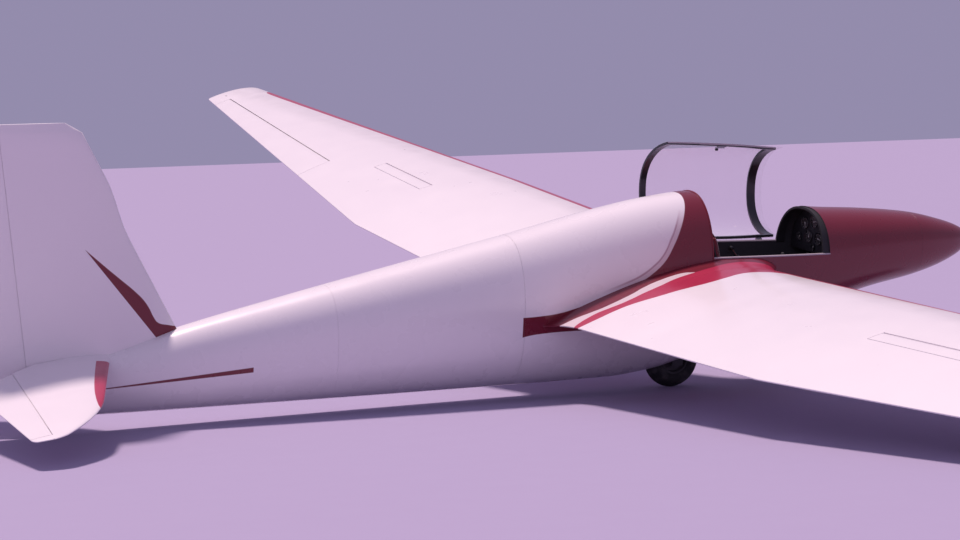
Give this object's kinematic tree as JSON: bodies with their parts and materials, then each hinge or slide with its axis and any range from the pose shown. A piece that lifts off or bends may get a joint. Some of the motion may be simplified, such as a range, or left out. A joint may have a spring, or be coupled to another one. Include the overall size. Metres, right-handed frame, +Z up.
{
  "type": "sailplane glider",
  "caption": "Single-seat mid-wing sailplane with one fixed wheel, a low tail and a side-hinged clear canopy, parked on its right wing tip.",
  "frame": {"origin": "bottom centre of the bounding box of the parked aircraft, at ground level", "axes": "+X towards the nose, +Y towards the left wing tip, +Z up; the airframe is rolled about X onto its right wing tip"},
  "size_m": [6.665, 14.8744, 2.1065],
  "materials": {
    "white_skin": "gloss white paint",
    "red_and_white_skin": "gloss red and white paint",
    "striped_skin": "gloss white paint with dark red stripes",
    "grey_steel": "worn steel",
    "tyre": "worn rubber",
    "alloy": "cast",
    "black_frame": "satin black paint",
    "clear_glass": "clear",
    "grey_liner": "matt grey",
    "dark_red_cloth": "woven",
    "red_leather": "satin",
    "black_plastic": "matt"
  },
  "bodies": {
    "airframe": {"nose_cone": "red_and_white_skin", "cockpit_shell": "red_and_white_skin", "centre_fuselage": "striped_skin", "tail_cone": "striped_skin", "left_wing": "white_skin", "right_wing": "white_skin", "left_wing_root_fairing": "red_and_white_skin", "right_wing_root_fairing": "red_and_white_skin", "left_tip_skid": "grey_steel", "right_tip_skid": "grey_steel", "fin": "striped_skin", "left_stabilizer": "white_skin", "right_stabilizer": "white_skin", "main_axle": "grey_steel", "tail_wheel_fork": "grey_steel", "seat_pan": "grey_liner", "seat_cushion": "dark_red_cloth", "back_cushion": "dark_red_cloth", "headrest": "red_leather", "cockpit_floor": "grey_liner", "instrument_panel": "black_plastic", "glareshield": "black_plastic", "control_stick": "black_plastic", "left_rudder_pedal": "alloy", "right_rudder_pedal": "alloy", "tow_hook": "grey_steel"},
    "canopy": {"canopy_frame": "black_frame", "canopy_glass": "clear_glass"},
    "main_wheel": {"main_tyre": "tyre", "main_wheel_hub": "alloy"},
    "tail_wheel": {"tail_tyre": "tyre", "tail_wheel_hub": "alloy"},
    "left_aileron": {"left_aileron": "white_skin"},
    "right_aileron": {"right_aileron": "white_skin"},
    "left_airbrake": {"left_airbrake": "white_skin"},
    "right_airbrake": {"right_airbrake": "white_skin"},
    "left_elevator": {"left_elevator": "white_skin"},
    "right_elevator": {"right_elevator": "white_skin"},
    "rudder": {"rudder": "striped_skin"}
  },
  "joints": [
    {"name": "canopy_hinge", "type": "hinge", "parent": "airframe", "child": "canopy", "pos_m": [1.6625, 0.33622, 0.87952], "axis": [0.9995, -0.0228, -0.0236], "range_deg": [0, 96]},
    {"name": "main_wheel_spin", "type": "hinge", "parent": "airframe", "child": "main_wheel", "pos_m": [1.1725, 0.11965, 0.17755], "axis": [0, 0.9912, 0.1325], "continuous": true},
    {"name": "tail_wheel_spin", "type": "hinge", "parent": "airframe", "child": "tail_wheel", "pos_m": [-2.7275, 0.13423, 0.06853], "axis": [0, 0.9912, 0.1325], "continuous": true},
    {"name": "left_aileron_hinge", "type": "hinge", "parent": "airframe", "child": "left_aileron", "pos_m": [0.6905, 5.69232, 1.6979], "axis": [0.0706, 0.9774, 0.199], "range_deg": [-22, 22]},
    {"name": "right_aileron_hinge", "type": "hinge", "parent": "airframe", "child": "right_aileron", "pos_m": [0.6905, -5.65668, 0.18042], "axis": [-0.0706, 0.9954, 0.0648], "range_deg": [-22, 22]},
    {"name": "left_elevator_hinge", "type": "hinge", "parent": "airframe", "child": "left_elevator", "pos_m": [-3.0675, 0.84404, 0.45676], "axis": [-0.1073, 0.9869, 0.1206], "range_deg": [-25, 25]},
    {"name": "right_elevator_hinge", "type": "hinge", "parent": "airframe", "child": "right_elevator", "pos_m": [-3.0675, -0.65264, 0.25664], "axis": [0.1073, 0.9839, 0.1429], "range_deg": [-25, 25]},
    {"name": "rudder_hinge", "type": "hinge", "parent": "airframe", "child": "rudder", "pos_m": [-2.9585, 0.01628, 0.95068], "axis": [-0.1066, -0.1318, 0.9855], "range_deg": [-30, 30]},
    {"name": "left_airbrake_hinge", "type": "hinge", "parent": "airframe", "child": "left_airbrake", "pos_m": [0.80776, 3.29441, 1.33388], "axis": [0.0285, 0.9834, 0.179], "range_deg": [0, 60]},
    {"name": "right_airbrake_hinge", "type": "hinge", "parent": "airframe", "child": "right_airbrake", "pos_m": [0.80775, -3.24737, 0.45917], "axis": [-0.0285, 0.9959, 0.0857], "range_deg": [0, 60]}
  ],
  "couplings": [
    {"joint": "right_aileron_hinge", "follows": "left_aileron_hinge", "ratio": -1},
    {"joint": "right_elevator_hinge", "follows": "left_elevator_hinge", "ratio": 1},
    {"joint": "right_airbrake_hinge", "follows": "left_airbrake_hinge", "ratio": 1}
  ]
}
